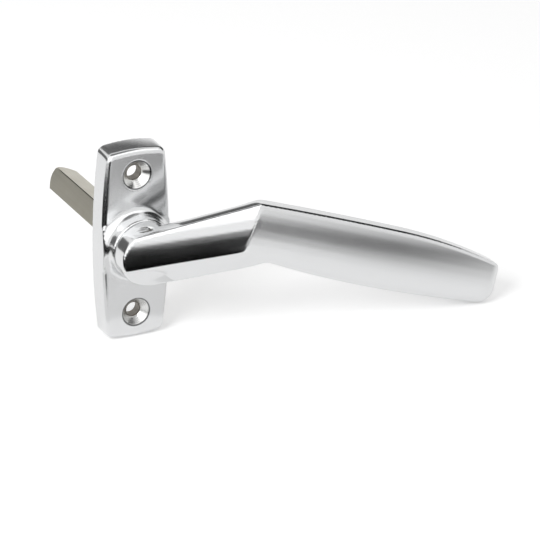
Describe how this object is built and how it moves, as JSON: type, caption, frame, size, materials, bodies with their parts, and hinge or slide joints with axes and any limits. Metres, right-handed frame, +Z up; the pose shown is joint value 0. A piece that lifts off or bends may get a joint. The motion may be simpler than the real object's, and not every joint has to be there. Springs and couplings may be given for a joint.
{
  "type": "window handle",
  "caption": "Espagnolette window handle: cranked lever on a hollow back plate with countersunk fixing holes, and a split square spindle.",
  "frame": {"origin": "on the spindle axis, in the plane of the back plate's rear face", "axes": "+Z up along the back plate, +Y into the window along the spindle, -Y out into the room towards the lever, +X to the side the grip points to"},
  "size_m": [0.1219, 0.0798, 0.0596],
  "materials": {
    "satin_chrome": "satin chrome plated die-casting",
    "spindle_steel": "drawn bar with a thin dull zinc plating",
    "spring_steel": "bare hardened steel",
    "nylon": "natural moulded nylon"
  },
  "bodies": {
    "plate": {"back_plate": "satin_chrome", "bearing_sleeve": "nylon", "detent_ball_upper": "spring_steel", "detent_ball_lower": "spring_steel", "detent_spring_upper": "spring_steel", "detent_spring_lower": "spring_steel"},
    "handle": {"lever": "satin_chrome", "click_cam": "spring_steel", "thrust_washer": "spring_steel", "retaining_clip": "spring_steel", "spindle_half_upper": "spindle_steel", "spindle_half_lower": "spindle_steel", "spindle_pin": "spring_steel"}
  },
  "joints": [
    {"name": "lever_turn", "type": "hinge", "parent": "plate", "child": "handle", "pos_m": [0, 0, 0], "axis": [0, -1, 0], "range_deg": [-70, 110]}
  ]
}
